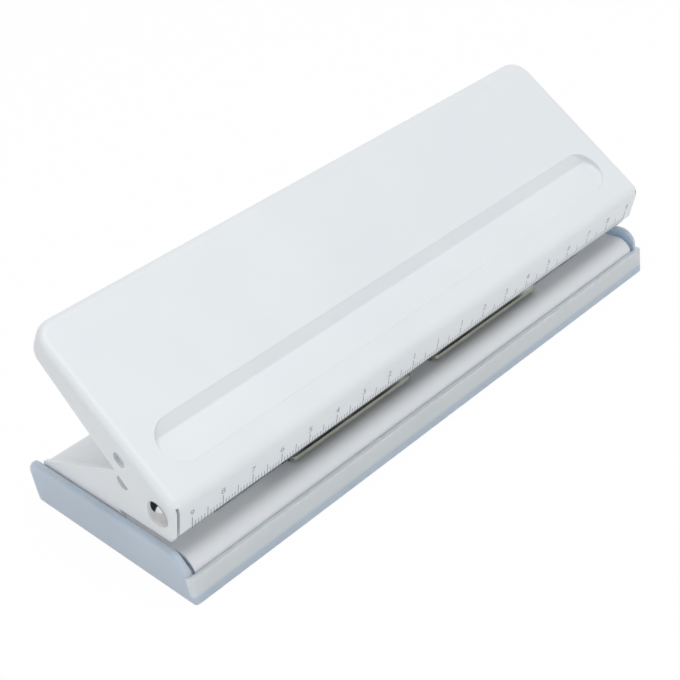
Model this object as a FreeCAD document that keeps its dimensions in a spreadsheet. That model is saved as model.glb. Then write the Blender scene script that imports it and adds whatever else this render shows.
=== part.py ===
import FreeCAD, Part
import math
import os
import Sketcher
from types import SimpleNamespace

# Six-hole desk punch, in millimetres: X along the machine, +Y to the back, Z up, with the
# origin in the middle of the tray's underside. The lever is drawn raised, as it rests.

DRIVING_SIZES = {
    # chip tray
    "tray_length": 192.6,
    "tray_width": 74.5,
    "tray_front_height": 8.6,
    "tray_end_height": 15.1,
    "tray_wall": 1.6,
    "tray_end_wall": 1.8,
    "tray_floor": 1.4,
    "tray_front_radius": 1.2,
    "tray_back_radius": 3.5,
    "tray_inner_radius": 0.8,
    "tray_foot_radius": 1.0,
    "tray_ledge_width": 2.2,
    "tray_ledge_height": 1.6,
    "tray_rim_reach": 0.2,
    "tray_rim_radius": 5.5,
    "tray_rim_rounding": 1.2,
    # base frame
    "frame_sheet": 1.2,
    "frame_gap": 0.25,
    "plate_height": 12.6,
    "plate_roll_radius": 5.0,
    "end_gap": 0.3,
    "slot_width": 7.2,
    "slot_end_gap": 0.1,
    # ears
    "ear_back_inset": 6.9,
    "ear_back_drop": 10.9,
    "ear_crest_inset": 40.5,
    "ear_crest_rise": 4.7,
    "ear_crest_spread": 0.6,
    "ear_rise_angle": 3.0,
    "ear_nose_radius": 6.85,
    "ear_nose_gap": 1.0,
    "ear_chin_radius": 2.4,
    "ear_fold_radius": 1.1,
    "paper_gap_setback": 22.1,
    "paper_gap_lead": 2.8,
    "skirt_width": 20.5,
    "sight_hole_diameter": 4.4,
    "ear_hole_setback": 16.2,
    "ear_hole_drop": 3.6,
    # pivot
    "pivot_inset": 5.3,
    "pivot_height": 26.7,
    "rivet_diameter": 4.0,
    "rivet_head_diameter": 7.4,
    "rivet_dome_set": 3.4,
    "rivet_tail_diameter": 6.2,
    "rivet_tail_height": 1.2,
    "rivet_tail_rounding": 0.7,
    "rivet_play": 0.1,
    "running_fit": 0.05,
    "washer_diameter": 8.0,
    "washer_thickness": 0.6,
    # lever
    "lever_angle": 38.6,
    "lever_sheet": 1.2,
    "lever_depth": 58.9,
    "lever_side_gap": 0.3,
    "lever_boss_radius": 6.6,
    "lever_taper_angle": 8.8,
    "lever_front_lean": 19.4,
    "lever_front_length": 11.6,
    "lever_front_radius": 3.6,
    "lever_rim_radius": 2.4,
    "lever_plan_radius": 6.2,
    "lever_toe_radius": 2.2,
    "pivot_setback": 3.6,
    "pivot_drop": 8.4,
    "lever_hole_setback": 19.8,
    "lever_hole_drop": 6.6,
    "seam_width": 0.7,
    "seam_bend_angle": 36.0,
    # palm groove
    "groove_front": 7.4,
    "groove_width": 14.1,
    "groove_end_inset": 7.2,
    "groove_front_depth": 0.35,
    "groove_slope": 12.0,
    "groove_rear_slope": 35.5,
    "groove_root_radius": 0.9,
    "groove_end_flat": 0.01,
    # press bar
    "bar_reach": 9.2,
    "bar_rise": 3.2,
    "bar_nose_radius": 2.4,
    "bar_nose_flat": 0.01,
    "bar_sheet": 1.0,
    "bar_end_inset": 12.0,
    # punch heads
    "head_middle_gap": 10.0,
    "head_end_gap": 15.5,
    "head_front_inset": 6.2,
    "head_depth": 18.2,
    "head_slide_gap": 0.05,
    "head_sheet": 1.2,
    "head_bend_radius": 1.8,
    "head_nose_radius": 1.5,
    "head_top": 26.8,
    "upper_guide_setback": 2.6,
    "paper_gap": 0.55,
    "die_sheet": 0.5,
    "die_setback": 2.4,
    "paper_depth": 5.4,
    "pin_pitch": 19.0,
    "pin_end_inset": 4.5,
    "pin_setback": 6.8,
    "pin_diameter": 5.5,
    "die_fit": 0.1,
    "shoe_side_gap": 0.1,
    "shoe_flange_width": 11.6,
    "shoe_flange_thickness": 1.3,
    "chip_hole_diameter": 6.4,
    "head_rivet_diameter": 2.6,
    "head_rivet_fit": 0.03,
    "head_rivet_head_diameter": 4.4,
    "head_rivet_dome_set": 2.2,
    "stack_rivet_setback": 14.0,
    # pins, clips and springs
    "pin_lift": 0.5,
    "pin_touch_gap": 0.3,
    "pin_hollow": 0.9,
    "pin_chamfer": 0.5,
    "clip_groove_depth": 0.6,
    "clip_diameter": 9.0,
    "clip_thickness": 0.8,
    "clip_gap": 0.1,
    "clip_mouth": 3.6,
    "spring_wire": 0.6,
    "spring_diameter": 7.3,
    "spring_turns": 4.0,
    "spring_gap": 0.05,
}

doc = FreeCAD.newDocument("desk_punch")
sheet = doc.addObject("Spreadsheet::Sheet", "sizes")
for row, (alias, number) in enumerate(DRIVING_SIZES.items(), 1):
    sheet.set("A%d" % row, alias)
    sheet.set("B%d" % row, str(number))
    sheet.setAlias("B%d" % row, alias)
doc.recompute()


class Size:
    """A size: its number, and the expression that works it out from the sheet's cells."""

    def __init__(self, number, text):
        self.number = number
        self.text = text

    def __add__(self, other):
        other = as_size(other)
        return Size(self.number + other.number, "(%s + %s)" % (self.text, other.text))

    def __sub__(self, other):
        other = as_size(other)
        return Size(self.number - other.number, "(%s - %s)" % (self.text, other.text))

    def __mul__(self, other):
        other = as_size(other)
        return Size(self.number * other.number, "(%s * %s)" % (self.text, other.text))

    def __truediv__(self, other):
        other = as_size(other)
        return Size(self.number / other.number, "(%s / %s)" % (self.text, other.text))

    def __radd__(self, other):
        return as_size(other) + self

    def __rsub__(self, other):
        return as_size(other) - self

    def __rmul__(self, other):
        return as_size(other) * self

    def __neg__(self):
        return as_size(0) - self


def as_size(value):
    return value if isinstance(value, Size) else Size(float(value), str(value))


def sine(angle):
    angle = as_size(angle)
    return Size(math.sin(math.radians(angle.number)), "sin(%s * 1deg)" % angle.text)


def cosine(angle):
    angle = as_size(angle)
    return Size(math.cos(math.radians(angle.number)), "cos(%s * 1deg)" % angle.text)


size = SimpleNamespace(
    **{alias: Size(getattr(sheet, alias), "sizes." + alias) for alias in DRIVING_SIZES}
)


# ---------------------------------------------------------------- straight edges and corners

def edge_line(normal_angle, point, outset=0):
    """The straight edge that faces normal_angle (degrees) and lies outset beyond a point."""
    across, up = cosine(normal_angle), sine(normal_angle)
    return across, up, across * point[0] + up * point[1] + outset


def corner(edge_a, edge_b):
    """The point where two straight edges meet."""
    turn = edge_a[0] * edge_b[1] - edge_a[1] * edge_b[0]
    across = (edge_a[2] * edge_b[1] - edge_b[2] * edge_a[1]) / turn
    up = (edge_a[0] * edge_b[2] - edge_b[0] * edge_a[2]) / turn
    return across, up


# ------------------------------------------------------------------------- document helpers

def new_body(label):
    body = doc.addObject("PartDesign::Body", label)
    body.Label = label
    return body


def origin_item(body, role):
    return next(item for item in body.Origin.OriginFeatures if item.Role == role)


def new_sketch(body, role, lift=None):
    """A sketch on one of the body's origin planes, or lifted off it along its normal."""
    sketch = body.newObject("Sketcher::SketchObject", body.Name + "_sketch")
    sketch.AttachmentSupport = [(origin_item(body, role), "")]
    sketch.MapMode = "FlatFace"
    if lift is not None:
        sketch.setExpression("AttachmentOffset.Base.z", as_size(lift).text)
    return sketch


def bind(sketch, constraint, value):
    """Adds a dimension to a sketch and ties it to its size."""
    index = sketch.addConstraint(Sketcher.Constraint(*constraint, value.number))
    sketch.setExpression("Constraints[%d]" % index, value.text)


def pin_down(sketch, geometry, end, point):
    bind(sketch, ("DistanceX", -1, 1, geometry, end), as_size(point[0]))
    bind(sketch, ("DistanceY", -1, 1, geometry, end), as_size(point[1]))


def vector(point):
    return FreeCAD.Vector(as_size(point[0]).number, as_size(point[1]).number, 0)


def tangent_ends(before, at, after, radius):
    """Where an arc of the radius leaves and joins the two edges that meet at a corner."""
    to_before = (before - at).normalize()
    to_after = (after - at).normalize()
    half = to_before.getAngle(to_after) / 2
    reach = radius / math.tan(half)
    middle = (to_before + to_after).normalize()
    top = at + middle * (radius / math.sin(half) - radius)
    return at + to_before * reach, top, at + to_after * reach


def outline(sketch, corners, dome=None):
    """Draws a closed outline; each corner is (across, up) or (across, up, radius).

    A dome is (number of the edge's first corner, centre, axis): that edge is an arc about the
    centre, and it ends on the sketch's axis, -1 for the level one or -2 for the upright one.
    """
    points = [vector(item) for item in corners]
    radii = [as_size(item[2]) if len(item) > 2 else None for item in corners]
    count = len(corners)
    domed, dome_centre, dome_axis = dome or (None, None, None)
    if dome:
        centre, apex = vector(dome_centre), (domed + 1) % count
        reach = (points[domed] - centre).Length
        points[apex] = centre + (points[apex] - centre).normalize() * reach
    ends = []
    for index in range(count):
        if radii[index] is None:
            ends.append((points[index], None, points[index]))
        else:
            ends.append(tangent_ends(points[index - 1], points[index],
                                     points[(index + 1) % count], radii[index].number))
    edges = []
    for index in range(count):
        start, end = ends[index][2], ends[(index + 1) % count][0]
        if index == domed:
            middle = centre + ((start + end) / 2 - centre).normalize() * reach
            shape = Part.Arc(start, middle, end)
        else:
            shape = Part.LineSegment(start, end)
        edge = sketch.addGeometry(shape, False)
        forward = (sketch.getPoint(edge, 1) - start).Length < 1e-6
        edges.append((edge, *((1, 2) if forward else (2, 1))))
    for index in range(count):
        before, _, before_end = edges[index - 1]
        after, after_start, _ = edges[index]
        if radii[index] is None:
            sketch.addConstraint(
                Sketcher.Constraint("Coincident", before, before_end, after, after_start))
            if dome and index == apex:
                sketch.addConstraint(
                    Sketcher.Constraint("PointOnObject", before, before_end, dome_axis))
            else:
                pin_down(sketch, after, after_start, corners[index])
            if index == domed:
                pin_down(sketch, after, 3, dome_centre)
            continue
        arc = sketch.addGeometry(Part.Arc(*ends[index]), False)
        leaves = (sketch.getPoint(arc, 1) - ends[index][0]).Length < 1e-6
        first, last = (1, 2) if leaves else (2, 1)
        sketch.addConstraint(Sketcher.Constraint("Tangent", before, 2, arc, first))
        sketch.addConstraint(Sketcher.Constraint("Tangent", arc, last, after, 1))
        bind(sketch, ("Radius", arc), radii[index])
        mark = sketch.addGeometry(Part.Point(points[index]), True)
        pin_down(sketch, mark, 1, corners[index])
        sketch.addConstraint(Sketcher.Constraint("PointOnObject", mark, 1, before))
        sketch.addConstraint(Sketcher.Constraint("PointOnObject", mark, 1, after))


def rectangle(sketch, low, high, radius=None):
    round_off = () if radius is None else (radius,)
    outline(sketch, [
        (low[0], low[1], *round_off),
        (high[0], low[1], *round_off),
        (high[0], high[1], *round_off),
        (low[0], high[1], *round_off),
    ])


def circle(sketch, centre, diameter):
    normal = FreeCAD.Vector(0, 0, 1)
    ring = sketch.addGeometry(Part.Circle(vector(centre), normal, diameter.number / 2), False)
    pin_down(sketch, ring, 3, centre)
    bind(sketch, ("Diameter", ring), diameter)


def pad(body, sketch, length, both_ways=False, reverse=False):
    feature = body.newObject("PartDesign::Pad", body.Name + "_pad")
    feature.Profile = sketch
    feature.SideType = "Symmetric" if both_ways else "One side"
    feature.Reversed = reverse
    feature.setExpression("Length", as_size(length).text)
    doc.recompute()
    return feature


def pocket(body, sketch, length, both_ways=False, reverse=False):
    """Cuts a sketch out of the body, and makes sure that the cut met the solid."""
    volume = body.Shape.Volume
    feature = body.newObject("PartDesign::Pocket", body.Name + "_pocket")
    feature.Profile = sketch
    feature.SideType = "Symmetric" if both_ways else "One side"
    feature.Reversed = reverse
    feature.setExpression("Length", as_size(length).text)
    doc.recompute()
    if body.Shape.Volume > volume - 1e-3:
        raise RuntimeError("%s: a pocket cuts nothing" % body.Label)
    return feature


def revolve(body, sketch, role="Z_Axis"):
    feature = body.newObject("PartDesign::Revolution", body.Name + "_revolution")
    feature.Profile = sketch
    feature.ReferenceAxis = (origin_item(body, role), [""])
    feature.Angle = 360
    doc.recompute()
    return feature


def mirror(body, features, role):
    feature = body.newObject("PartDesign::Mirrored", body.Name + "_mirror")
    feature.Originals = features
    feature.MirrorPlane = (origin_item(body, role), [""])
    body.Tip = feature
    doc.recompute()
    return feature


def round_edges(body, radius, wanted):
    """Rounds the edges of the body that a test picks out."""
    doc.recompute()
    names = [
        "Edge%d" % number
        for number, edge in enumerate(body.Shape.Edges, 1)
        if wanted(edge)
    ]
    if not names:
        raise RuntimeError("%s: no edge to round" % body.Label)
    base = body.Tip
    feature = body.newObject("PartDesign::Fillet", body.Name + "_fillet")
    feature.Base = (base, names)
    feature.setExpression("Radius", as_size(radius).text)
    doc.recompute()
    return feature


def is_close(value, target):
    return abs(value - as_size(target).number) < 1e-4


def runs_along(edge, axis):
    """Whether an edge is straight and runs along one axis (0 for X, 1 for Y, 2 for Z)."""
    if not isinstance(edge.Curve, Part.Line):
        return False
    return abs(edge.Curve.Direction[axis]) > 1 - 1e-6


def lies_on(edge, line):
    """Whether both of an edge's ends are on a straight line drawn in the YZ plane."""
    across, up, reach = (term.number for term in line)
    return all(abs(across * vertex.Y + up * vertex.Z - reach) < 1e-4 for vertex in edge.Vertexes)


def place(item, **offsets):
    """Moves an object to its seat by x, y and z sizes."""
    for axis, value in offsets.items():
        item.setExpression("Placement.Base." + axis, as_size(value).text)


parts = {}


def keep(item, label):
    item.Label = label
    parts[label] = item
    return item


# ----------------------------------------------------------------------- sizes worked out once

ear_outer = size.tray_length / 2 - size.tray_end_wall - size.end_gap
ear_inner = ear_outer - size.frame_sheet
flange_inner = ear_outer + size.lever_side_gap
flange_outer = flange_inner + size.lever_sheet
frame_foot = size.tray_floor + size.tray_ledge_height
frame_edge = size.tray_width / 2 - size.tray_wall - size.frame_gap
plate_underside = size.plate_height - size.frame_sheet
pivot_line = size.pivot_inset - frame_edge
pivot = (pivot_line, size.pivot_height)
ear_back = frame_edge - size.ear_back_inset
skirt_front = ear_back - size.skirt_width
ear_crest = (ear_back - size.ear_crest_inset, size.pivot_height + size.ear_crest_rise)
ear_hole_line = pivot_line + size.ear_hole_setback
ear_hole_height = (ear_crest[1] - size.ear_hole_drop + (ear_crest[0] - ear_hole_line)
                   * sine(size.ear_rise_angle) / cosine(size.ear_rise_angle))
lever_pivot = (size.pivot_setback, -size.pivot_drop)
through = size.tray_length * 2

die_bottom = size.plate_height + size.head_slide_gap
die_top = die_bottom + size.die_sheet
guide_bottom = die_top + size.paper_gap
guide_top = guide_bottom + size.head_sheet
upper_guide_bottom = size.head_top - size.head_sheet
head_front = size.head_front_inset - frame_edge
head_back = head_front + size.head_depth
head_web = head_back - size.head_sheet
head_half = size.pin_pitch + size.pin_end_inset
head_centre = head_half + size.head_middle_gap / 2
head_travel = ear_inner - size.head_end_gap - head_half - head_centre
pin_line = head_front + size.pin_setback
stack_rivet_line = head_front + size.stack_rivet_setback
stack_rivet_hole = size.head_rivet_diameter + size.head_rivet_fit * 2
shoe_top = die_bottom
shoe_shoulder = plate_underside - size.head_slide_gap
shoe_bottom = shoe_shoulder - size.shoe_flange_thickness

bar_height = (size.pivot_height + size.bar_reach * sine(size.lever_angle)
              + size.bar_rise * cosine(size.lever_angle) - size.bar_nose_radius)
pin_top = bar_height - size.pin_touch_gap
pin_tip = guide_bottom + size.pin_lift
clip_top = upper_guide_bottom - size.clip_gap
clip_bottom = clip_top - size.clip_thickness


# ------------------------------------------------------------------------------- chip tray

def make_chip_tray():
    """An open tray: ends that follow the rolled plate, low front and back walls, a ledge."""
    body = new_body("chip_tray")
    half_length = size.tray_length / 2
    half_width = size.tray_width / 2
    sketch = new_sketch(body, "XY_Plane")
    outline(sketch, [
        (-half_length, -half_width, size.tray_front_radius),
        (half_length, -half_width, size.tray_front_radius),
        (half_length, half_width, size.tray_back_radius),
        (-half_length, half_width, size.tray_back_radius),
    ])
    pad(body, sketch, size.tray_end_height)
    round_edges(body, size.tray_foot_radius, lambda edge: is_close(edge.BoundBox.ZMax, 0))

    inner_length = half_length - size.tray_end_wall
    inner_width = half_width - size.tray_wall
    sketch = new_sketch(body, "XY_Plane", frame_foot)
    rectangle(sketch, (-inner_length, -inner_width), (inner_length, inner_width),
              size.tray_inner_radius)
    pocket(body, sketch, size.tray_end_height, reverse=True)
    ledge_edge = inner_width - size.tray_ledge_width
    sketch = new_sketch(body, "XY_Plane", size.tray_floor)
    rectangle(sketch, (-inner_length, -ledge_edge), (inner_length, ledge_edge),
              size.tray_inner_radius)
    pocket(body, sketch, size.tray_ledge_height, reverse=True)

    # the ends' rim follows the rolled plate's profile down to the low walls
    rim_side = frame_edge + size.tray_rim_reach
    rim_middle = frame_edge / 2
    above = size.tray_end_height * 2
    beyond = half_width + size.tray_wall
    for side in (-1, 1):
        sketch = new_sketch(body, "YZ_Plane")
        outline(sketch, [
            (side * beyond, size.tray_front_height),
            (side * rim_side, size.tray_front_height),
            (side * rim_side, size.tray_end_height, size.tray_rim_radius),
            (side * rim_middle, size.tray_end_height),
            (side * rim_middle, above),
            (side * beyond, above),
        ])
        pocket(body, sketch, through, both_ways=True)
    round_edges(body, size.tray_rim_rounding, lambda edge: (
        runs_along(edge, 1)
        and is_close(abs(edge.BoundBox.XMax), half_length)
        and is_close(edge.BoundBox.ZMax, size.tray_end_height)))
    keep(body, "chip_tray")


# ------------------------------------------------------------------------------ base frame

def ear_corners():
    """The ear's outline: crest, nose beside the lever's front flange, gap for the paper.

    Over its back half it also goes down as a skirt, behind the tray's end wall.
    """
    front = edge_line(180 - size.lever_front_lean + size.lever_angle, pivot,
                      size.pivot_setback * cosine(size.lever_front_lean)
                      + size.pivot_drop * sine(size.lever_front_lean)
                      - size.lever_sheet - size.ear_nose_gap)
    top = edge_line(90 - size.ear_rise_angle, ear_crest)
    gap_top = guide_bottom + size.paper_gap_lead
    gap_end = pivot_line + size.paper_gap_setback
    slot_top = edge_line(-90, (0, gap_top))
    nose = corner(front, top)
    chin = corner(front, slot_top)
    return [
        (skirt_front, plate_underside),
        (skirt_front, frame_foot),
        (ear_back, frame_foot),
        (ear_back, size.pivot_height - size.ear_back_drop),
        (*ear_crest, size.ear_crest_inset * size.ear_crest_spread),
        (nose[0], nose[1], size.ear_nose_radius),
        (chin[0], chin[1], size.ear_chin_radius),
        (gap_end, gap_top),
        (gap_end, plate_underside),
    ]


def make_base_frame():
    """The base plate: front and back edges rolled down, an ear folded up at each end."""
    body = new_body("base_frame")
    inner_radius = size.plate_roll_radius - size.frame_sheet
    inner_edge = frame_edge - size.frame_sheet
    sketch = new_sketch(body, "YZ_Plane")
    outline(sketch, [
        (-frame_edge, frame_foot),
        (-frame_edge, size.plate_height, size.plate_roll_radius),
        (frame_edge, size.plate_height, size.plate_roll_radius),
        (frame_edge, frame_foot),
        (inner_edge, frame_foot),
        (inner_edge, plate_underside, inner_radius),
        (-inner_edge, plate_underside, inner_radius),
        (-inner_edge, frame_foot),
    ])
    pad(body, sketch, ear_inner * 2, both_ways=True)

    sketch = new_sketch(body, "YZ_Plane", ear_inner)
    outline(sketch, ear_corners())
    circle(sketch, pivot, size.rivet_diameter)
    circle(sketch, (ear_hole_line, ear_hole_height), size.sight_hole_diameter)
    ear = pad(body, sketch, size.frame_sheet)
    mirror(body, [ear], "YZ_Plane")
    round_edges(body, size.ear_fold_radius, lambda edge: (
        runs_along(edge, 1)
        and is_close(abs(edge.BoundBox.XMax), ear_outer)
        and is_close(edge.BoundBox.ZMax, plate_underside)))

    slot_in = head_centre - head_half - size.slot_end_gap
    slot_out = head_centre + head_half + head_travel + size.slot_end_gap
    for side in (-1, 1):
        sketch = new_sketch(body, "XY_Plane", size.plate_height)
        rectangle(sketch, (side * slot_in, pin_line - size.slot_width / 2),
                  (side * slot_out, pin_line + size.slot_width / 2))
        pocket(body, sketch, size.frame_sheet)
    keep(body, "base_frame")


# ----------------------------------------------------------------------------------- pivot

def make_pivots():
    """A rivet with a spherical head, and a washer, at each end, seated in the ear."""
    head_radius = size.rivet_head_diameter / 2
    tail_radius = size.rivet_tail_diameter / 2
    shank = size.rivet_diameter / 2
    washer_inner = ear_inner - size.washer_thickness
    head_seat = flange_outer + size.rivet_play
    for side, name in ((-1, "left"), (1, "right")):
        body = new_body("pivot_rivet_" + name)
        sketch = new_sketch(body, "XZ_Plane")
        outline(sketch, [
            (side * (washer_inner - size.rivet_tail_height), 0),
            (side * (washer_inner - size.rivet_tail_height), tail_radius,
             size.rivet_tail_rounding),
            (side * washer_inner, tail_radius),
            (side * washer_inner, shank),
            (side * head_seat, shank),
            (side * head_seat, head_radius),
            (side * (head_seat + head_radius), 0),
        ], dome=(5, (side * (head_seat - size.rivet_dome_set), 0), -1))
        revolve(body, sketch, "X_Axis")
        place(body, y=pivot[0], z=pivot[1])
        keep(body, "pivot_rivet_" + name)

        body = new_body("pivot_washer_" + name)
        sketch = new_sketch(body, "YZ_Plane", side * washer_inner)
        circle(sketch, (0, 0), size.washer_diameter)
        circle(sketch, (0, 0), size.rivet_diameter)
        pad(body, sketch, size.washer_thickness, reverse=side < 0)
        place(body, y=pivot[0], z=pivot[1])
        keep(body, "pivot_washer_" + name)


# ----------------------------------------------------------------------------------- lever

def seat_on_lever(item):
    """Turns and moves an object from the lever's own flat position to its raised one."""
    turned = FreeCAD.Rotation(FreeCAD.Vector(1, 0, 0), size.lever_angle.number)
    item.Placement = FreeCAD.Placement(FreeCAD.Vector(), turned)
    item.setExpression("Placement.Rotation.Angle", size.lever_angle.text + " * 1deg")
    turn, rise = cosine(size.lever_angle), sine(size.lever_angle)
    place(item,
          y=pivot[0] - (lever_pivot[0] * turn - lever_pivot[1] * rise),
          z=pivot[1] - (lever_pivot[0] * rise + lever_pivot[1] * turn))


def lever_edges(inset):
    """The lever's top, back and front faces, moved in by the inset."""
    top = edge_line(90, (0, 0), -inset)
    back = edge_line(0, (size.lever_depth, 0), -inset)
    front = edge_line(180 - size.lever_front_lean, (0, 0), -inset)
    return top, back, front


def groove_floor(depth):
    """The palm groove's floor line, or the same line deeper by a sheet's thickness."""
    return edge_line(90 - size.groove_slope, (size.groove_front, -size.groove_front_depth), -depth)


def make_groove(label, growth):
    """The palm groove as a solid tool; growth makes the larger one of its underside."""
    body = new_body(label)
    end = flange_outer - size.groove_end_inset + growth
    radius = size.groove_width / 2 + growth - size.groove_end_flat
    sketch = new_sketch(body, "XY_Plane", -size.lever_boss_radius)
    rectangle(sketch, (-end, size.groove_front - growth),
              (end, size.groove_front + size.groove_width + growth), radius)
    pad(body, sketch, size.lever_boss_radius * 2)
    floor = groove_floor(growth)
    rear = edge_line(size.groove_rear_slope - 90, (size.groove_front + size.groove_width, 0), growth)
    below = edge_line(-90, (0, -size.lever_boss_radius * 2))
    left = edge_line(180, (0, 0))
    right = edge_line(0, (size.groove_front + size.groove_width * 2, 0))
    sketch = new_sketch(body, "YZ_Plane")
    outline(sketch, [corner(left, floor), corner(floor, rear), corner(rear, right),
                     corner(right, below), corner(below, left)])
    pocket(body, sketch, through, both_ways=True)
    round_edges(body, size.groove_root_radius + growth,
                lambda edge: lies_on(edge, floor) or lies_on(edge, rear))
    seat_on_lever(body)
    return body


def make_pan(label, inset, half_length, depth):
    """The lever's drawn pan as a solid block: rounded back corners, a soft rim, bent front."""
    top, back, front = lever_edges(inset)
    under = edge_line(-90, lever_pivot, depth)
    body = new_body(label)
    sketch = new_sketch(body, "YZ_Plane")
    outline(sketch, [
        (*corner(front, top), size.lever_front_radius - inset),
        corner(top, back),
        corner(back, under),
        corner(under, front),
    ])
    pad(body, sketch, half_length * 2, both_ways=True)
    half_depth = size.lever_depth.number / 2
    round_edges(body, size.lever_plan_radius - inset, lambda edge: (
        runs_along(edge, 2) and edge.BoundBox.YMax > half_depth))
    round_edges(body, size.lever_rim_radius - inset, lambda edge: (
        runs_along(edge, 1) and is_close(edge.BoundBox.ZMax, -inset)))
    return body


def make_lever_cover():
    """The lever: a deep-drawn pan with a palm groove, folded at the front along two seams."""
    boss = size.lever_boss_radius
    body = make_pan("lever_outside", as_size(0), flange_outer, boss * 2)
    front = lever_edges(as_size(0))[2]
    lower = edge_line(size.lever_taper_angle - 90, lever_pivot, boss)
    bottom = edge_line(-90 - size.lever_angle, lever_pivot, boss)
    behind = edge_line(0, (size.lever_depth + boss, 0))
    floor = edge_line(-90, lever_pivot, boss * 3)
    ahead = edge_line(180, (-size.lever_front_length * 2, 0))
    toe_end = edge_line(90, (0, -size.pivot_drop))
    sketch = new_sketch(body, "YZ_Plane")
    outline(sketch, [
        corner(ahead, floor),
        corner(floor, behind),
        corner(behind, lower),
        (*corner(lower, bottom), boss),
        (*corner(bottom, front), size.lever_toe_radius),
        corner(front, toe_end),
        corner(toe_end, ahead),
    ])
    pocket(body, sketch, through, both_ways=True)
    sketch = new_sketch(body, "YZ_Plane")
    circle(sketch, lever_pivot, size.rivet_diameter + size.running_fit * 2)
    circle(sketch, (size.lever_hole_setback, -size.lever_hole_drop), size.sight_hole_diameter)
    pocket(body, sketch, through, both_ways=True)

    # the front flange ends above the toes, and a seam parts it from each side flange
    front_foot = -size.lever_front_length * cosine(size.lever_front_lean)
    sketch = new_sketch(body, "YZ_Plane")
    rectangle(sketch, (-size.lever_front_length, -boss - size.pivot_drop), (0, front_foot))
    pocket(body, sketch, flange_inner * 2, both_ways=True)
    top, _, inside = lever_edges(size.lever_front_radius)
    outside = lever_edges(-size.lever_sheet)[2]
    seam_foot = edge_line(-90, (0, front_foot), size.lever_sheet)
    bend = corner(inside, top)
    seam_end = edge_line(90 - size.lever_front_lean - size.seam_bend_angle, bend)
    for side in (-1, 1):
        sketch = new_sketch(body, "YZ_Plane", side * flange_inner)
        outline(sketch, [bend, corner(seam_end, outside), corner(outside, seam_foot),
                         corner(seam_foot, inside)])
        pocket(body, sketch, size.seam_width, reverse=side < 0)
    seat_on_lever(body)

    hollow = make_pan("lever_hollow", size.lever_sheet, flange_inner, boss * 3)
    seat_on_lever(hollow)
    groove = make_groove("groove_outside", as_size(0))
    groove_under = make_groove("groove_underside", size.lever_sheet)
    space = cut("lever_space", hollow, groove_under)
    shell = cut("lever_shell", body, space)
    keep(cut("lever_cover", shell, groove), "lever_cover")


def cut(label, base, tool):
    result = doc.addObject("Part::Cut", label)
    result.Base = base
    result.Tool = tool
    doc.recompute()
    return result


def make_press_bar():
    """A channel under the palm groove; its round nose pushes the pins down."""
    body = new_body("press_bar")
    centre = (lever_pivot[0] + size.bar_reach, lever_pivot[1] + size.bar_rise)
    nose = size.bar_nose_radius
    bore = nose - size.bar_sheet
    seat = groove_floor(size.lever_sheet)
    sketch = new_sketch(body, "YZ_Plane")
    outer = [edge_line(180, centre, nose), edge_line(-90, centre, nose), edge_line(0, centre, nose)]
    inner = [edge_line(180, centre, bore), edge_line(-90, centre, bore), edge_line(0, centre, bore)]
    outline(sketch, [
        corner(seat, outer[0]),
        (*corner(outer[0], outer[1]), nose - size.bar_nose_flat),
        (*corner(outer[1], outer[2]), nose - size.bar_nose_flat),
        corner(outer[2], seat),
        corner(seat, inner[2]),
        (*corner(inner[2], inner[1]), bore - size.bar_nose_flat),
        (*corner(inner[1], inner[0]), bore - size.bar_nose_flat),
        corner(inner[0], seat),
    ])
    pad(body, sketch, (ear_inner - size.bar_end_inset) * 2, both_ways=True)
    seat_on_lever(body)
    keep(body, "press_bar")


# ------------------------------------------------------------------------------ punch heads

def pin_places():
    return [-size.pin_pitch, as_size(0), size.pin_pitch]


def rivet_places():
    return [-size.pin_pitch / 2, size.pin_pitch / 2]


def cut_holes(body, level, places, line, diameter, depth):
    """Round holes down through a plate whose top is at the level."""
    sketch = new_sketch(body, "XY_Plane", level)
    for across in places:
        circle(sketch, (across, line), diameter)
    pocket(body, sketch, depth)


def make_die_plate(label):
    body = new_body(label)
    sketch = new_sketch(body, "XY_Plane", die_bottom)
    rectangle(sketch, (-head_half, head_front + size.die_setback), (head_half, head_back))
    pad(body, sketch, size.die_sheet)
    cut_holes(body, die_top, pin_places(), pin_line, size.pin_diameter + size.die_fit * 2,
              size.die_sheet)
    cut_holes(body, die_top, rivet_places(), pin_line, size.head_rivet_diameter, size.die_sheet)
    cut_holes(body, die_top, rivet_places(), stack_rivet_line, stack_rivet_hole,
              size.die_sheet)
    return body


def make_paper_stop(label):
    body = new_body(label)
    sketch = new_sketch(body, "XY_Plane", die_top)
    rectangle(sketch, (-head_half, pin_line + size.paper_depth), (head_half, head_back))
    pad(body, sketch, size.paper_gap)
    cut_holes(body, guide_bottom, rivet_places(), stack_rivet_line, stack_rivet_hole,
              size.paper_gap)
    return body


def make_head_channel(label):
    """Lower guide, back web and upper guide, folded from one strip."""
    body = new_body(label)
    bend = size.head_bend_radius
    inner_bend = bend - size.head_sheet
    upper_front = head_front + size.upper_guide_setback
    sketch = new_sketch(body, "YZ_Plane")
    outline(sketch, [
        (head_front, guide_bottom),
        (head_back, guide_bottom, bend),
        (head_back, size.head_top, bend),
        (upper_front, size.head_top),
        (upper_front, upper_guide_bottom),
        (head_web, upper_guide_bottom, inner_bend),
        (head_web, guide_top, inner_bend),
        (head_front, guide_top),
    ])
    pad(body, sketch, head_half * 2, both_ways=True)
    bore = size.pin_diameter + size.running_fit * 2
    cut_holes(body, size.head_top, pin_places(), pin_line, bore, size.head_top - guide_bottom)
    cut_holes(body, guide_top, rivet_places(), stack_rivet_line, stack_rivet_hole,
              size.head_sheet)
    round_edges(body, size.head_nose_radius, lambda edge: (
        runs_along(edge, 2) and edge.BoundBox.YMax < upper_front.number + 1e-3))
    return body


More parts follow.
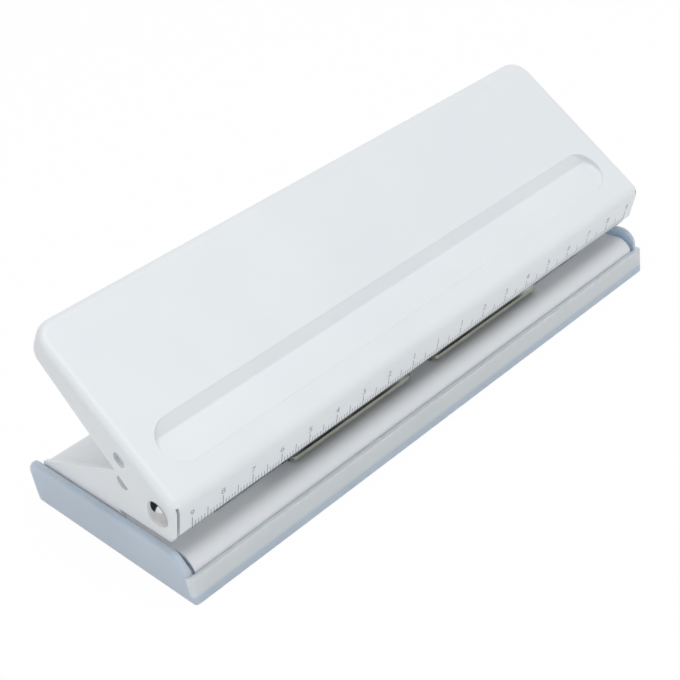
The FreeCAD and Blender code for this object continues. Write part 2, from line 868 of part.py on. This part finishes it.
def make_slide_shoe(label):
    """A T-section that runs in the base plate's slot and holds the head down."""
    body = new_body(label)
    tongue = size.slot_width / 2 - size.shoe_side_gap
    flange = size.shoe_flange_width / 2
    sketch = new_sketch(body, "YZ_Plane")
    outline(sketch, [
        (pin_line - tongue, shoe_top),
        (pin_line + tongue, shoe_top),
        (pin_line + tongue, shoe_shoulder),
        (pin_line + flange, shoe_shoulder),
        (pin_line + flange, shoe_bottom),
        (pin_line - flange, shoe_bottom),
        (pin_line - flange, shoe_shoulder),
        (pin_line - tongue, shoe_shoulder),
    ])
    pad(body, sketch, head_half * 2, both_ways=True)
    depth = shoe_top - shoe_bottom
    cut_holes(body, shoe_top, pin_places(), pin_line, size.chip_hole_diameter, depth)
    cut_holes(body, shoe_top, rivet_places(), pin_line, size.head_rivet_diameter, depth)
    return body


def revolve_profile(body, profile, dome=None):
    sketch = new_sketch(body, "XZ_Plane")
    outline(sketch, profile, dome)
    revolve(body, sketch)


def make_rivet_pair(label, profile, line):
    """Two rivets side by side, as one group of separate solids."""
    rivets = []
    for number, across in enumerate(rivet_places(), 1):
        body = new_body("%s_%d" % (label, number))
        revolve_profile(body, *profile)
        place(body, x=across, y=line)
        rivets.append(body)
    group = doc.addObject("Part::Compound", label)
    group.Links = rivets
    doc.recompute()
    return group


def stack_rivet_profile():
    shank = size.head_rivet_diameter / 2
    head = size.head_rivet_head_diameter / 2
    profile = [
        (0, die_bottom),
        (shank, die_bottom),
        (shank, guide_top),
        (head, guide_top),
        (0, guide_top + head),
    ]
    return profile, (3, (0, guide_top - size.head_rivet_dome_set), -2)


def shoe_rivet_profile():
    shank = size.head_rivet_diameter / 2
    profile = [(0, shoe_bottom), (shank, shoe_bottom), (shank, die_top), (0, die_top)]
    return profile, None


# ------------------------------------------------------------------- pins, clips and springs

def make_punch_pin(label):
    """A hollow-ground pin with a groove for its clip."""
    body = new_body(label)
    radius = size.pin_diameter / 2
    groove = radius - size.clip_groove_depth
    revolve_profile(body, [
        (0, pin_tip + size.pin_hollow),
        (radius, pin_tip),
        (radius, clip_bottom),
        (groove, clip_bottom),
        (groove, clip_top),
        (radius, clip_top),
        (radius, pin_top - size.pin_chamfer),
        (radius - size.pin_chamfer, pin_top),
        (0, pin_top),
    ])
    return body


def make_pin_clip(label):
    """An open ring that snaps into the pin's groove."""
    body = new_body(label)
    sketch = new_sketch(body, "XY_Plane", clip_bottom)
    circle(sketch, (0, 0), size.clip_diameter)
    circle(sketch, (0, 0), size.pin_diameter - size.clip_groove_depth * 2)
    pad(body, sketch, size.clip_thickness)
    sketch = new_sketch(body, "XY_Plane", clip_top)
    rectangle(sketch, (-size.clip_mouth / 2, -size.clip_diameter), (size.clip_mouth / 2, 0))
    pocket(body, sketch, size.clip_thickness)
    return body


def make_pin_spring(label):
    """A round-wire spring between the lower guide and the clip."""
    body = new_body(label)
    wire = size.spring_wire
    bottom = guide_top + size.spring_gap + wire / 2
    rise = clip_bottom - guide_top - size.spring_gap * 2 - wire
    sketch = new_sketch(body, "XZ_Plane")
    circle(sketch, (size.spring_diameter / 2, bottom), wire)
    helix = body.newObject("PartDesign::AdditiveHelix", body.Name + "_helix")
    helix.Profile = sketch
    helix.ReferenceAxis = (origin_item(body, "Z_Axis"), [""])
    helix.Mode = "height-turns-angle"
    helix.setExpression("Height", rise.text)
    helix.setExpression("Turns", size.spring_turns.text)
    doc.recompute()
    return body


def make_heads():
    """Two heads of three pins each; pins are numbered along +X."""
    number = 0
    for side, name in ((-1, "left"), (1, "right")):
        centre = side * head_centre
        pieces = {
            "die_plate_" + name: make_die_plate("die_plate_" + name),
            "paper_stop_" + name: make_paper_stop("paper_stop_" + name),
            "head_channel_" + name: make_head_channel("head_channel_" + name),
            "slide_shoe_" + name: make_slide_shoe("slide_shoe_" + name),
            "stack_rivets_" + name: make_rivet_pair(
                "stack_rivets_" + name, stack_rivet_profile(),
                stack_rivet_line),
            "shoe_rivets_" + name: make_rivet_pair(
                "shoe_rivets_" + name, shoe_rivet_profile(), pin_line),
        }
        for label, item in pieces.items():
            place(item, x=centre)
            keep(item, label)
        for across in pin_places():
            number += 1
            for label, make in (("punch_pin", make_punch_pin), ("pin_clip", make_pin_clip),
                                ("pin_spring", make_pin_spring)):
                item = make("%s_%d" % (label, number))
                place(item, x=centre + across, y=pin_line)
                keep(item, "%s_%d" % (label, number))


# ---------------------------------------------------------------------------- build and write

make_chip_tray()
make_base_frame()
make_pivots()
make_lever_cover()
make_press_bar()
make_heads()
doc.recompute()

for item in doc.Objects:
    if "Invalid" in item.State or "Error" in item.State:
        raise RuntimeError("%s did not build: %s" % (item.Label, item.State))
for label, item in parts.items():
    if item.Shape.isNull() or not item.Shape.isValid():
        raise RuntimeError("%s has no valid shape" % label)

os.makedirs("parts", exist_ok=True)
for label, item in parts.items():
    item.Shape.exportStep(os.path.join("parts", label + ".step"))
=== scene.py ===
import math

import bmesh
import bpy
from mathutils import Matrix, Vector


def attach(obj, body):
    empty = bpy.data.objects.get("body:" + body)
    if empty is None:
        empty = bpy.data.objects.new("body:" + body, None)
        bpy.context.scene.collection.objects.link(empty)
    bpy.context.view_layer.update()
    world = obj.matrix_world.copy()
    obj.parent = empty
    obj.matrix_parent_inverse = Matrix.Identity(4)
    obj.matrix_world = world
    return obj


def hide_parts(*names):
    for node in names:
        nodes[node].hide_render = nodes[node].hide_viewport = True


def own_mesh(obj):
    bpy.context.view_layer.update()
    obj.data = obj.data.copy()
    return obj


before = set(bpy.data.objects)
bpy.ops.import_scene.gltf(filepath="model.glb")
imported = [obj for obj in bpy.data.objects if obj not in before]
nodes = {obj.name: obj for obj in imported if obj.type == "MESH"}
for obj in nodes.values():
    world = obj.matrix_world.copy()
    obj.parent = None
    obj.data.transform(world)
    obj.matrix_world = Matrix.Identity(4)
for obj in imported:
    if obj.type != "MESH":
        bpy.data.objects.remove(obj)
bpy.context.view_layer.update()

MILLIMETRE = 0.001
CENTIMETRE = 0.01
BOTH_SIDES = ("_left", "_right")
PIN_NUMBERS = range(1, 7)

# The raised lever's section, in metres and radians: how steeply the palm face rises, how far
# the front flange leans forward of square to it, the hinge line, and how far that line is
# behind the palm face's front edge and below the face.
LEVER_ANGLE = math.radians(38.6)
FRONT_LEAN = math.radians(19.4)
PIVOT = Vector((0.0, -0.0301, 0.0267))
PIVOT_SETBACK = 0.0036
PIVOT_DROP = 0.0084


def lever_point(along, out):
    """A point of the lever's section: along the palm face from its front edge, and out of it."""
    turn, rise = math.cos(LEVER_ANGLE), math.sin(LEVER_ANGLE)
    back, up = along - PIVOT_SETBACK, out + PIVOT_DROP
    return PIVOT + Vector((0.0, back * turn - up * rise, back * rise + up * turn))


# The line where the front flange would meet the palm face, the way down the flange and the
# way out of it.
FRONT_EDGE = lever_point(0.0, 0.0)
DOWN = (lever_point(-math.sin(FRONT_LEAN), -math.cos(FRONT_LEAN)) - FRONT_EDGE).normalized()
OUT = Vector((-1.0, 0.0, 0.0)).cross(DOWN).normalized()


def put(name, data):
    """A new object of the scene, around a mesh, a curve, a lamp or a camera."""
    item = bpy.data.objects.new(name, data)
    bpy.context.scene.collection.objects.link(item)
    return item


def as_mesh(name, shape):
    """A mesh made of a bmesh, which is used up."""
    mesh = bpy.data.meshes.new(name)
    shape.to_mesh(mesh)
    shape.free()
    return mesh


# ------------------------------------------------------------------------------- materials

EVEN = (1.0, 1.0, 1.0)


class Nodes:
    """A material's node tree, with a Principled shader and its output already joined."""

    def __init__(self, name):
        self.material = bpy.data.materials.new(name)
        self.material.use_nodes = True
        self.tree = self.material.node_tree
        self.tree.nodes.clear()
        self.shader = self.add("ShaderNodeBsdfPrincipled")
        output = self.add("ShaderNodeOutputMaterial")
        self.join(self.shader, "BSDF", output, "Surface")
        self.place = self.add("ShaderNodeTexCoord")

    def add(self, kind, **settings):
        """A new node of this kind."""
        node = self.tree.nodes.new(kind)
        for key, value in settings.items():
            setattr(node, key, value)
        return node

    def join(self, source, out, target, into):
        """A link from one node's output to another's input."""
        self.tree.links.new(source.outputs[out], target.inputs[into])

    def set(self, **values):
        """Values of the shader's own inputs, named with underscores for spaces."""
        for key, value in values.items():
            self.shader.inputs[key.replace("_", " ")].default_value = value

    def noise(self, scale, detail=3.0, roughness=0.55, stretch=None):
        """Noise over the piece, drawn out along an axis whose stretch is under one."""
        node = self.add("ShaderNodeTexNoise")
        node.inputs["Scale"].default_value = scale
        node.inputs["Detail"].default_value = detail
        node.inputs["Roughness"].default_value = roughness
        if stretch is None:
            self.join(self.place, "Object", node, "Vector")
        else:
            mapping = self.add("ShaderNodeMapping")
            mapping.inputs["Scale"].default_value = stretch
            self.join(self.place, "Object", mapping, "Vector")
            self.join(mapping, "Vector", node, "Vector")
        return node

    def ramp(self, noise, low, high, ends=(0.3, 0.7)):
        """One colour where the noise is at the lower end, another where it is at the upper."""
        node = self.add("ShaderNodeValToRGB")
        self.join(noise, "Fac", node, "Fac")
        for element, where, colour in zip(node.color_ramp.elements, ends, (low, high)):
            element.position = where
            element.color = (*colour, 1.0)
        return node

    def step(self, axes, out, low, high):
        """Nought where the place is at low along this axis, one where it is at high."""
        node = self.add("ShaderNodeMapRange")
        node.inputs["From Min"].default_value = low
        node.inputs["From Max"].default_value = high
        self.join(axes, out, node, "Value")
        return node

    def colour(self, noise, dark, light, ends=(0.3, 0.7)):
        """The shader's colour, wandering between dark and light."""
        self.join(self.ramp(noise, dark, light, ends), "Color", self.shader, "Base Color")

    def gloss(self, noise, low, high):
        """The shader's roughness, wandering between low and high."""
        grey = self.ramp(noise, (low,) * 3, (high,) * 3)
        self.join(grey, "Color", self.shader, "Roughness")

    def grain(self, noise, strength, distance, before=None):
        """A bump on the shader's surface, on top of an earlier one if that is given."""
        bump = self.add("ShaderNodeBump")
        bump.inputs["Strength"].default_value = strength
        bump.inputs["Distance"].default_value = distance
        self.join(noise, "Fac", bump, "Height")
        if before is not None:
            self.join(before, "Normal", bump, "Normal")
        self.join(bump, "Normal", self.shader, "Normal")
        return bump


def enamel(name, light, dark, roughness):
    """Satin paint on sheet steel: a faint mottle, a fine orange peel and uneven gloss."""
    made = Nodes(name)
    made.colour(made.noise(28.0, detail=2.0), dark, light, ends=(0.35, 0.65))
    made.gloss(made.noise(60.0), roughness - 0.04, roughness + 0.04)
    peel = made.grain(made.noise(700.0, detail=2.0), strength=0.05, distance=0.0003)
    flake = made.noise(3800.0, detail=2.0)
    made.grain(flake, strength=0.08, distance=0.0001, before=peel)
    made.set(Specular_IOR_Level=0.45, Coat_Weight=0.12, Coat_Roughness=0.25)
    return made.material


def metal(name, light, dark, roughness, stretch=EVEN):
    """Bare or plated steel, darker in patches, with a fine grain that a stretch draws out."""
    made = Nodes(name)
    made.colour(made.noise(160.0, detail=4.0), dark, light)
    lines = made.noise(900.0, roughness=0.6, stretch=stretch)
    made.gloss(lines, roughness - 0.07, roughness + 0.07)
    made.grain(lines, strength=0.12, distance=0.0001)
    made.set(Metallic=1.0)
    return made.material


def chrome(name):
    """Bright plating with a faint haze and the finest of grains."""
    made = Nodes(name)
    haze = made.noise(420.0)
    made.colour(haze, (0.42, 0.42, 0.43), (0.50, 0.50, 0.51))
    made.gloss(haze, 0.05, 0.10)
    made.grain(made.noise(2500.0, detail=2.0), strength=0.02, distance=0.00005)
    made.set(Metallic=1.0)
    return made.material


# The tray's front wall in the piece's own axes, in metres: from where to where, going forward
# and going up, the plastic turns from its own blue to a paler band of painted light, where the
# white plate shows through.
FRONT_WALL_Y = (-0.0352, -0.0358)
PAINTED_LIGHT_BAND_Z = (0.0026, 0.0036)


def frosted_plastic(name):
    """The tray's frosted plastic, with a band of painted light high on its front wall, where the
    white plate shows through.
    """
    made = Nodes(name)
    cloud = made.noise(45.0)
    deep = made.ramp(cloud, (0.59, 0.69, 0.84), (0.64, 0.74, 0.88))
    # painted light: the paler blue of the band high on the front wall, where the white plate shows
    # through
    pale = made.ramp(cloud, (0.82, 0.90, 0.98), (0.86, 0.93, 1.00))
    axes = made.add("ShaderNodeSeparateXYZ")
    made.join(made.place, "Object", axes, "Vector")
    front = made.step(axes, "Y", *FRONT_WALL_Y)
    # the height mask of the painted light band
    painted_light_rise = made.step(axes, "Z", *PAINTED_LIGHT_BAND_Z)
    share = made.add("ShaderNodeMath", operation="MULTIPLY")
    made.join(front, "Result", share, 0)
    made.join(painted_light_rise, "Result", share, 1)
    colour = made.add("ShaderNodeMixRGB")
    made.join(share, "Value", colour, "Fac")
    made.join(deep, "Color", colour, "Color1")
    made.join(pale, "Color", colour, "Color2")
    made.join(colour, "Color", made.shader, "Base Color")
    frost = made.noise(1800.0)
    made.gloss(frost, 0.30, 0.42)
    made.grain(frost, strength=0.10, distance=0.0001)
    made.set(IOR=1.47, Transmission_Weight=0.30, Subsurface_Weight=0.85,
             Subsurface_Scale=0.004, Subsurface_Radius=(0.9, 1.0, 1.15))
    return made.material


def moulded_plastic(name, light, dark, roughness):
    """Dark moulded plastic with the fine texture of a spark-eroded mould."""
    made = Nodes(name)
    made.colour(made.noise(120.0), dark, light)
    spark = made.noise(2600.0, detail=2.0)
    made.gloss(spark, roughness - 0.05, roughness + 0.08)
    made.grain(spark, strength=0.15, distance=0.0001)
    return made.material


def print_ink(name):
    """Thin grey screen print, lighter and darker in specks."""
    made = Nodes(name)
    made.colour(made.noise(2400.0), (0.28, 0.29, 0.31), (0.42, 0.43, 0.45), ends=(0.3, 0.75))
    made.set(Roughness=0.6)
    return made.material


def give(material, *names):
    """Put the material on these nodes of the CAD, in each slot that they have."""
    for name in names:
        item = nodes[name]
        if not item.material_slots:
            item.data.materials.append(material)
        for place in item.material_slots:
            place.material = material


lever_paint = enamel("lever_paint", (0.775, 0.800, 0.815), (0.755, 0.782, 0.800), 0.40)
frame_paint = enamel("frame_paint", (0.780, 0.795, 0.810), (0.760, 0.777, 0.795), 0.42)
tray_plastic = frosted_plastic("tray_frosted")
chrome_plate = chrome("rivet_chrome")
zinc = metal("washer_zinc", (0.60, 0.60, 0.60), (0.48, 0.48, 0.48), 0.38)
bar_zinc = metal("bar_zinc", (0.52, 0.52, 0.49), (0.40, 0.40, 0.37), 0.36, (0.06, 1.0, 1.0))
die_steel = metal("die_steel", (0.46, 0.46, 0.41), (0.34, 0.34, 0.30), 0.34, (0.05, 1.0, 1.0))
head_zinc = metal("head_zinc", (0.47, 0.48, 0.43), (0.36, 0.37, 0.32), 0.36, (0.05, 1.0, 1.0))
rivet_zinc = metal("head_rivet", (0.56, 0.56, 0.53), (0.44, 0.44, 0.42), 0.32)
pin_steel = metal("pin_steel", (0.62, 0.62, 0.63), (0.52, 0.52, 0.53), 0.22, (1.0, 1.0, 0.08))
clip_black = metal("clip_black", (0.12, 0.12, 0.12), (0.07, 0.07, 0.07), 0.42)
spring_wire = metal("spring_wire", (0.55, 0.55, 0.56), (0.42, 0.42, 0.43), 0.28)
shoe_black = moulded_plastic("shoe_black", (0.060, 0.062, 0.066), (0.042, 0.044, 0.048), 0.45)
ink = print_ink("scale_ink")

give(lever_paint, "lever_cover")
give(frame_paint, "base_frame")
give(tray_plastic, "chip_tray")
give(chrome_plate, *("pivot_rivet" + side for side in BOTH_SIDES))
give(zinc, *("pivot_washer" + side for side in BOTH_SIDES))
give(bar_zinc, "press_bar")
give(die_steel, *("die_plate" + side for side in BOTH_SIDES))
give(head_zinc, *(kind + side for kind in ("paper_stop", "head_channel") for side in BOTH_SIDES))
give(shoe_black, *("slide_shoe" + side for side in BOTH_SIDES))
give(rivet_zinc, *(kind + side for kind in ("stack_rivets", "shoe_rivets") for side in BOTH_SIDES))
give(pin_steel, *("punch_pin_%d" % number for number in PIN_NUMBERS))
give(clip_black, *("pin_clip_%d" % number for number in PIN_NUMBERS))
give(spring_wire, *("pin_spring_%d" % number for number in PIN_NUMBERS))


# ------------------------------------------------------------ the springs' own copies


def make_short_spring(number):
    """A copy of a pin's spring with its own mesh, carried by the pin's punch head."""
    source = nodes["pin_spring_%d" % number]
    coil = put("return_spring_%d" % number, source.data.copy())
    coil.matrix_world = source.matrix_world.copy()
    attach(coil, "head_left" if number <= 3 else "head_right")
    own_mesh(coil)
    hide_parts("pin_spring_%d" % number)


for number in PIN_NUMBERS:
    make_short_spring(number)


# ------------------------------------------------------------ the centimetre scale's print

# Places on the front flange, in metres down from the palm face's edge line. A tick's kind is
# where it begins and how wide it is; all of them end at the same foot.
INK_LIFT = 0.00002           # how far the ink is off the paint
SCALE_END = 9                # the last centimetre on either side of the middle line
TICK_FOOT = 0.0112
MIDDLE_TICK = (0.0046, 0.00030)
CENTIMETRE_TICK = (0.0067, 0.00030)
HALF_TICK = (0.0068, 0.00026)
MILLIMETRE_TICK = (0.0087, 0.00024)
DIGIT_DOWN = 0.0050
DIGIT_SIZE = 0.0031

# from across the flange, up it and out of it to the scene's axes
flange_frame = Matrix((
    (1.0, -DOWN.x, OUT.x, FRONT_EDGE.x),
    (0.0, -DOWN.y, OUT.y, FRONT_EDGE.y),
    (0.0, -DOWN.z, OUT.z, FRONT_EDGE.z),
    (0.0, 0.0, 0.0, 1.0),
))


def on_flange(across, down):
    """A point of the ink: across along X, down from the palm face's edge line."""
    return flange_frame @ Vector((across, -down, INK_LIFT))


def finish_print(name, mesh):
    """A piece of ink that moves with the lever."""
    piece = put(name, mesh)
    piece.data.materials.clear()
    piece.data.materials.append(ink)
    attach(piece, "lever")


def tick_at(step):
    """The kind of tick that is this many millimetres from the middle line."""
    if step == 0:
        return MIDDLE_TICK
    if step % 10 == 0:
        return CENTIMETRE_TICK
    if step % 5 == 0:
        return HALF_TICK
    return MILLIMETRE_TICK


def scale_ticks():
    """One short line a millimetre, longer at the halves, the centimetres and the middle."""
    shape = bmesh.new()
    for step in range(-10 * SCALE_END, 10 * SCALE_END + 1):
        top, width = tick_at(step)
        middle = step * MILLIMETRE
        corners = [
            shape.verts.new(on_flange(middle + side * width / 2, down))
            for side, down in ((-1, TICK_FOOT), (1, TICK_FOOT), (1, top), (-1, top))
        ]
        shape.faces.new(corners)
    finish_print("scale_ticks", as_mesh("scale_ticks", shape))


def scale_digits():
    """The digits 9 to 1 and 1 to 9, either side of the middle line."""
    for centimetre in range(-SCALE_END, SCALE_END + 1):
        if centimetre == 0:
            continue
        curve = bpy.data.curves.new("digit", "FONT")
        curve.body = str(abs(centimetre))
        curve.size = DIGIT_SIZE
        curve.align_x = "CENTER"
        curve.align_y = "CENTER"
        source = put("digit", curve)
        bpy.context.view_layer.update()
        mesh = bpy.data.meshes.new_from_object(source)
        bpy.data.objects.remove(source)
        place = Matrix.Translation((centimetre * CENTIMETRE, -DIGIT_DOWN, INK_LIFT))
        mesh.transform(flange_frame @ place)
        side = "m" if centimetre < 0 else "p"
        finish_print("scale_digit_%s%d" % (side, abs(centimetre)), mesh)


scale_ticks()
scale_digits()


# ---------------------------------------------------------------------- floor, light, camera

WHITE = (1.0, 1.0, 1.0, 1.0)
TABLE_COLOUR = (0.95, 0.95, 0.95, 1.0)
TABLE_WHITE_SHARE = 0.97     # the rest of what the camera sees of it carries the shadows
TABLE_RADIUS = 6.0
TABLE_DROP = 0.0001          # how far it is below the tray's foot
SKY_COLOUR = (0.96, 0.98, 1.0, 1.0)
SKY_STRENGTH = 0.58
LAMP_AIM = Vector((0.0, 0.0, 0.02))
CARD_PLACE = Vector((-0.60, 0.62, 0.48))
CARD_HALF_SIDE = 0.55
CARD_COLOUR = (0.01, 0.01, 0.012, 1.0)

# the photo's camera, fitted to the scale's digits and to the object's corners and outline
CAMERA_PLACE = Vector((-0.212435, -0.252787, 0.219751))
CAMERA_RIGHT = Vector((0.702477, -0.695909, -0.149120))
CAMERA_UP = Vector((0.465593, 0.290885, 0.835829))
CAMERA_BACK = Vector((-0.538284, -0.656580, 0.528350))
CAMERA_LENS = 67.955
CAMERA_SENSOR = 36.0
CAMERA_CLIP = (0.01, 50.0)


def seen_rays(tree):
    """One for a ray that shows the background: straight, in a reflection or through plastic."""
    path = tree.nodes.new("ShaderNodeLightPath")
    mirrored = tree.nodes.new("ShaderNodeMath")
    mirrored.operation = "MAXIMUM"
    tree.links.new(path.outputs["Is Camera Ray"], mirrored.inputs[0])
    tree.links.new(path.outputs["Is Glossy Ray"], mirrored.inputs[1])
    seen = tree.nodes.new("ShaderNodeMath")
    seen.operation = "MAXIMUM"
    tree.links.new(mirrored.outputs[0], seen.inputs[0])
    tree.links.new(path.outputs["Is Transmission Ray"], seen.inputs[1])
    return seen


def floor_material():
    """White with faint shadows where it is seen, and a pale table for the light's bounces."""
    material = bpy.data.materials.new("floor")
    material.use_nodes = True
    tree = material.node_tree
    tree.nodes.clear()
    output = tree.nodes.new("ShaderNodeOutputMaterial")
    surface = tree.nodes.new("ShaderNodeBsdfDiffuse")
    surface.inputs["Color"].default_value = TABLE_COLOUR
    white = tree.nodes.new("ShaderNodeEmission")
    white.inputs["Color"].default_value = WHITE
    share = tree.nodes.new("ShaderNodeMath")
    share.operation = "MULTIPLY"
    share.inputs[1].default_value = TABLE_WHITE_SHARE
    mix = tree.nodes.new("ShaderNodeMixShader")
    tree.links.new(seen_rays(tree).outputs[0], share.inputs[0])
    tree.links.new(share.outputs[0], mix.inputs[0])
    tree.links.new(surface.outputs[0], mix.inputs[1])
    tree.links.new(white.outputs[0], mix.inputs[2])
    tree.links.new(mix.outputs[0], output.inputs[0])
    return material


def make_floor():
    """A wide round table just under the tray."""
    shape = bmesh.new()
    bmesh.ops.create_circle(shape, cap_ends=True, segments=64, radius=TABLE_RADIUS)
    floor = put("floor", as_mesh("floor", shape))
    floor.location.z = -TABLE_DROP
    floor.data.materials.append(floor_material())


def make_world():
    """White where it is seen, and a dimmer, cooler light from all sides on the object."""
    world = bpy.data.worlds.new("studio")
    bpy.context.scene.world = world
    world.use_nodes = True
    tree = world.node_tree
    tree.nodes.clear()
    output = tree.nodes.new("ShaderNodeOutputWorld")
    plain = tree.nodes.new("ShaderNodeBackground")
    plain.inputs["Color"].default_value = SKY_COLOUR
    plain.inputs["Strength"].default_value = SKY_STRENGTH
    white = tree.nodes.new("ShaderNodeBackground")
    white.inputs["Color"].default_value = WHITE
    white.inputs["Strength"].default_value = 1.0
    mix = tree.nodes.new("ShaderNodeMixShader")
    tree.links.new(seen_rays(tree).outputs[0], mix.inputs[0])
    tree.links.new(plain.outputs[0], mix.inputs[1])
    tree.links.new(white.outputs[0], mix.inputs[2])
    tree.links.new(mix.outputs[0], output.inputs[0])


def softbox(name, place, size, power):
    """A square lamp that faces the object."""
    light = bpy.data.lights.new(name, "AREA")
    light.shape = "SQUARE"
    light.size = size
    light.energy = power
    lamp = put(name, light)
    lamp.location = place
    lamp.rotation_euler = (LAMP_AIM - Vector(place)).to_track_quat("-Z", "Y").to_euler()


def make_dark_card():
    """A dark card behind the object that shows only in its reflections."""
    shape = bmesh.new()
    bmesh.ops.create_grid(shape, x_segments=1, y_segments=1, size=CARD_HALF_SIDE)
    card = put("dark_card", as_mesh("dark_card", shape))
    card.location = CARD_PLACE
    card.rotation_euler = (-CARD_PLACE).to_track_quat("Z", "Y").to_euler()
    material = bpy.data.materials.new("dark_card")
    material.use_nodes = True
    shader = material.node_tree.nodes["Principled BSDF"]
    shader.inputs["Base Color"].default_value = CARD_COLOUR
    card.data.materials.append(material)
    card.visible_camera = False
    card.visible_diffuse = False
    card.visible_transmission = False
    card.visible_shadow = False


def make_camera():
    """The camera that sees the object as the photo does."""
    data = bpy.data.cameras.new("camera")
    data.sensor_width = CAMERA_SENSOR
    data.lens = CAMERA_LENS
    data.clip_start, data.clip_end = CAMERA_CLIP
    camera = put("camera", data)
    turn = Matrix((CAMERA_RIGHT, CAMERA_UP, CAMERA_BACK)).transposed()
    camera.matrix_world = Matrix.Translation(CAMERA_PLACE) @ turn.to_4x4()
    bpy.context.scene.camera = camera


make_floor()
make_world()
softbox("key", place=(-0.10, -0.25, 1.17), size=0.9, power=6.2)
softbox("front", place=(0.10, -1.20, 0.30), size=0.6, power=0.9)
softbox("left", place=(-1.20, -0.10, 0.45), size=0.7, power=0.7)
make_dark_card()
make_camera()

scene = bpy.context.scene
scene.view_settings.view_transform = "Standard"
